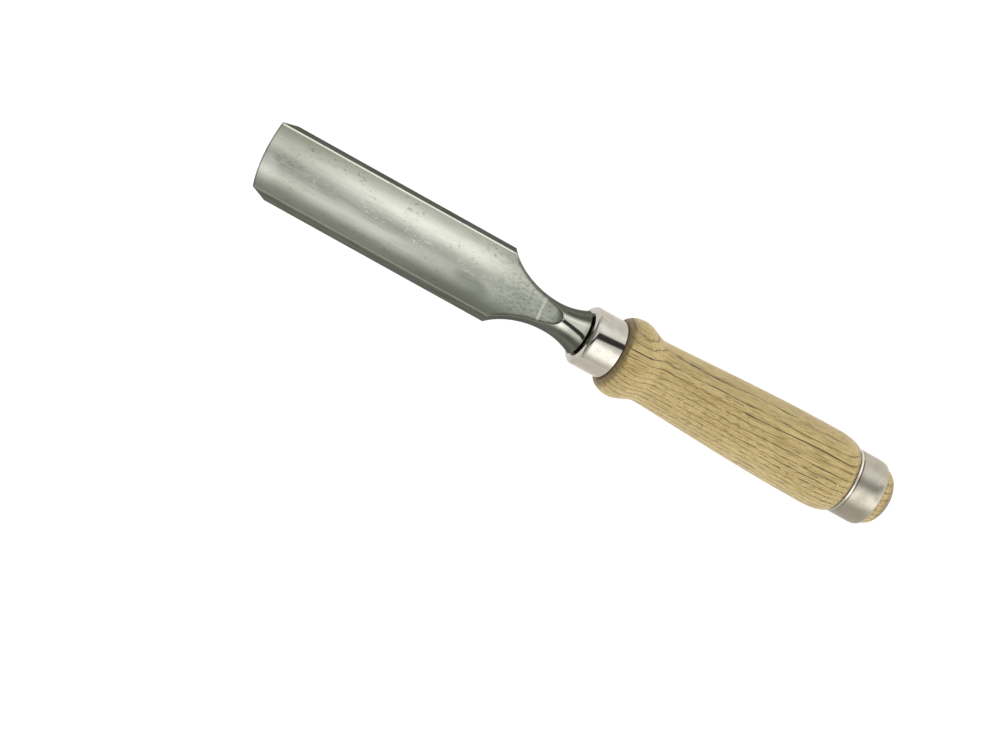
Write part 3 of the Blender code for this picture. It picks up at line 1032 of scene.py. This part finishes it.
def handle_outline():
    dome_radii = (HANDLE_END_X - HOOP_END_X, REAR_TENON_RADIUS)
    dome = arc((HOOP_END_X, 0.0), dome_radii, 0, 90, ROUND_STEPS)
    rear_tenon = [(TAIL_X, REAR_TENON_RADIUS)]
    front_tenon = [(COLLAR_X, FRONT_TENON_RADIUS), (TENON_X, FRONT_TENON_RADIUS)]
    bore_end = SEAT_X + TANG_LENGTH + BORE_SPARE
    mouth = TANG_ROOT / math.sqrt(2) + CLEARANCE
    bottom = TANG_TIP / math.sqrt(2) + CLEARANCE
    bore = [(TENON_X, mouth), (bore_end, bottom), (bore_end, 0.0)]
    return dome + rear_tenon + grip_outline() + front_tenon + bore


handle = turned_piece(
    "ash_handle", handle_outline(), turned_ash(), HANDLE_STEPS, FLAT_HEIGHT, FLAT_SOFTNESS
)

# %% [markdown]
# ## The ferrule and the hoop
#
# Both are plated rings, and both have small easings on their edges. Those easings are a fraction
# of a millimetre, but they are what draws the thin bright lines round the ends of real plated
# rings.

# %% The ferrule, turned
FERRULE_ROUNDING = 0.0023
RING_STEPS = 160
RING_EASE = 0.00018
EASE_STEPS = 4
ROUNDING_STEPS = 16
MOUTH_RADIUS = 0.0083


def ferrule_outline():
    front = station(ferrule_low.x)
    rear = station(ferrule_high.x)
    inside = FERRULE_RADIUS - FERRULE_WALL
    hole = SEAT_RADIUS + CLEARANCE
    lip = front + FERRULE_WALL
    ease, rounding = (RING_EASE, RING_EASE), (FERRULE_ROUNDING, FERRULE_ROUNDING)
    outer = arc((rear - RING_EASE, FERRULE_RADIUS - RING_EASE), ease, 0, 90, EASE_STEPS)
    nose_centre = (front + FERRULE_ROUNDING, FERRULE_RADIUS - FERRULE_ROUNDING)
    nose = arc(nose_centre, rounding, 90, 180, ROUNDING_STEPS)
    mouth = arc((front + RING_EASE, hole + RING_EASE), ease, 180, 270, EASE_STEPS)
    inner = [(lip, hole), (lip, inside), (rear, inside)]
    return outer + nose + mouth + inner + outer[:1]


bright_nickel = nickel_plate(
    "bright_nickel",
    clean=paint(190, 188, 180),
    warm=paint(179, 175, 164),
    gloss=0.06,
    film_depth=0.05,
    shade=0.05,
    mouth=MOUTH_RADIUS * MILLIMETRES,
)
ferrule = turned_piece("nickel_ferrule", ferrule_outline(), bright_nickel, RING_STEPS)

# %% The striking hoop, turned
HOOP_ROUNDING_LENGTH = 0.0034
HOOP_FRONT_BEVEL = 0.0005
HOOP_REAR_RIM = 0.0002
BEVEL_STEPS = 6


def hoop_outline():
    front = station(hoop_low.x)
    inside = HOOP_RADIUS - HOOP_WALL
    foot = inside + HOOP_REAR_RIM
    rounding_radii = (HOOP_ROUNDING_LENGTH, HOOP_RADIUS - foot)
    rounding_centre = (HOOP_END_X - HOOP_ROUNDING_LENGTH, foot)
    rounding = arc(rounding_centre, rounding_radii, 0, 90, ROUNDING_STEPS)
    bevel_centre = (front + HOOP_FRONT_BEVEL, HOOP_RADIUS - HOOP_FRONT_BEVEL)
    bevel = arc(bevel_centre, (HOOP_FRONT_BEVEL, HOOP_FRONT_BEVEL), 90, 180, BEVEL_STEPS)
    inner = [(front, inside), (HOOP_END_X, inside)]
    return rounding + bevel + inner + rounding[:1]


satin_nickel = nickel_plate(
    "satin_nickel",
    clean=paint(184, 179, 166),
    warm=paint(166, 160, 145),
    gloss=0.30,
    film_depth=0.10,
    shade=0.5,
    front=hoop_low.x,
)
hoop = turned_piece("nickel_hoop", hoop_outline(), satin_nickel, RING_STEPS)

# %% [markdown]
# ## Joining the pieces to the frame
#
# Nothing on a gouge moves, so every piece rides on the one body, root. Each piece stands for its
# imported node, which is then hidden.

# %% Ride and replace
for piece, node, slot in (
    (blade, "gouge_blade", "ground_steel"),
    (ferrule, "front_ferrule", "plated_ferrule"),
    (handle, "handle", "turned_ash"),
    (hoop, "striking_hoop", "plated_hoop"),
):
    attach(piece, "root")
    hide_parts(node)
    print(piece.name, "stands for", node)

# %% [markdown]
# ## The studio
#
# Metal shows what is round it, so the studio matters as much as the finish. A white tent lights
# the tool softly from all sides, brightest on the near side. It has three dark features: the slit
# for the lens, which draws the dark line along the neck and the ferrule, the open end beyond the
# cutting edge, which darkens whatever faces that way, and slightly dimmer flanks. The tent is
# painted on the world by direction: `tilt` is the angle from straight up towards +Y, and `along`
# leans towards the striking end. The slit lies aslant, because the lens looks in from above the
# cutting edge. The camera itself sees plain white.

# %% A light tent
NEAR_SIDE = ((-2.0, -26.0), (-82.0, -52.0))
FAR_SIDE = ((24.0, 38.0), (70.0, 48.0))
SLIT_MIDDLE = -1.8
SLIT_TURN = 41.5
SLIT_EDGE = (15.0, 10.0)
SLIT_ENDS = ((-0.8, -0.6), (0.9, 0.6))
OPEN_END = (-0.25, -0.95)
TENT_WHITE = (1.0, 0.995, 0.98, 1.0)


def band(quantity, low_side, high_side):
    """1 between two soft edges and 0 outside them."""
    return quantity.between(*low_side) * quantity.between(*high_side)


def light_tent():
    world = bpy.data.worlds.new("light_tent")
    bpy.context.scene.world = world
    world.use_nodes = True
    tent = Recipe(world.node_tree)
    along, sideways, up = tent.parts(tent.node("ShaderNodeTexCoord", output="Generated"))
    tilt = sideways.maths("ARCTAN2", up) * math.degrees(1)
    slit = (tilt - (along * SLIT_TURN + SLIT_MIDDLE)).size().between(*SLIT_EDGE)
    slit = slit * band(along, *SLIT_ENDS)
    flanks = tilt.size().between(46.0, 68.0) * along.between(0.28, 0.02)
    glow = band(tilt, *NEAR_SIDE) * along.between(-0.15, 0.28) + band(tilt, *FAR_SIDE) * 0.36
    strength = (glow + 1.06) * (1.0 - slit * 0.95)
    strength = strength * (1.0 - along.between(*OPEN_END) * 0.75) * (1.0 - flanks * 0.25)
    seen = tent.node("ShaderNodeLightPath", output="Is Camera Ray")
    background = tent.tree.nodes["Background"]
    background.inputs["Color"].default_value = TENT_WHITE
    tent.feed(background.inputs["Strength"], strength * (1.0 - seen) + seen)
    return world


print("lit by:", light_tent().name)

# %% [markdown]
# The floor is plain and pale. It glows a little, as a lit table does, so the tool casts only a
# faint shadow, and it is far larger than the tool, so that every low view sees nothing but floor.
# Seen from beneath it is clear, so the tool's underside can be looked at. The handle's flat rests
# on it, so the floor lies a hair lower, or the two surfaces would flicker into each other.

# %% The floor
FLOOR_SIZE = 6.0
FLOOR_GLOW = 0.85
FLOOR_DROP = 0.00005
FLOOR_GREY = (0.30, 0.30, 0.30, 1.0)
WHITE = (1.0, 1.0, 1.0, 1.0)


def pale_floor():
    mesh = bpy.data.meshes.new("floor")
    shape = bmesh.new()
    bmesh.ops.create_grid(shape, x_segments=1, y_segments=1, size=FLOOR_SIZE / 2)
    shape.to_mesh(mesh)
    shape.free()
    mesh.transform(Matrix.Translation((0.0, 0.0, -FLOOR_DROP)))
    floor = bpy.data.objects.new("floor", mesh)
    bpy.context.scene.collection.objects.link(floor)
    pale = Finish("pale_floor", Roughness=0.9, Emission_Strength=FLOOR_GLOW)
    pale.set("Base Color", FLOOR_GREY)
    pale.set("Alpha", 1 - pale.node("ShaderNodeNewGeometry", output="Backfacing"))
    pale.set("Emission Color", WHITE)
    mesh.materials.append(pale.material)
    return floor


floor = pale_floor()
print("floor:", floor.name)

# %% [markdown]
# ## The camera
#
# The view is from high above the cutting edge, a little to the near side, with a long lens. The
# tool slopes down to the right across the picture. The camera is placed from the angles that
# describe that view, and then moved back along its own line of sight.

# %% A long lens
LEAN_TO_EDGE = math.radians(20)
LEAN_TO_NEAR_SIDE = math.radians(11.3)
SLOPE_IN_VIEW = math.radians(28.99)
CAMERA_DISTANCE = 6.0
VIEW_WIDTH = 0.3888
SENSOR_WIDTH = 36.0
AIM_STATION = 0.1301
AIM_BELOW = 0.0295
CLIP_END = 100.0


def long_lens():
    roll = LEAN_TO_NEAR_SIDE
    sin, cos = math.sin(LEAN_TO_EDGE), math.cos(LEAN_TO_EDGE)
    towards = Vector((-sin, -math.sin(roll) * cos, math.cos(roll) * cos))
    tool_line = Vector((cos, -sin * math.sin(roll), sin * math.cos(roll)))
    cross_line = Vector((0.0, math.cos(roll), math.sin(roll)))
    sin, cos = math.sin(SLOPE_IN_VIEW), math.cos(SLOPE_IN_VIEW)
    right = tool_line * cos + cross_line * sin
    above = cross_line * cos - tool_line * sin
    aim = Vector((EDGE_X + AIM_STATION, 0.0, CENTRE_HEIGHT)) - cross_line * AIM_BELOW
    lens = bpy.data.cameras.new("long_lens")
    lens.sensor_width = SENSOR_WIDTH
    lens.lens = SENSOR_WIDTH * CAMERA_DISTANCE / VIEW_WIDTH
    lens.clip_end = CLIP_END
    camera = bpy.data.objects.new("long_lens", lens)
    bpy.context.scene.collection.objects.link(camera)
    turn = camera.matrix_world.to_3x3()
    for i, axis in enumerate((right, above, towards)):
        turn.col[i] = axis
    camera.matrix_world = turn.to_4x4()
    camera.location = aim + towards * CAMERA_DISTANCE
    bpy.context.scene.camera = camera
    return camera


camera = long_lens()
bpy.context.scene.view_settings.view_transform = "Standard"
print(f"camera {camera.location.length:.2f} m from the origin, {camera.data.lens:.0f} mm lens")
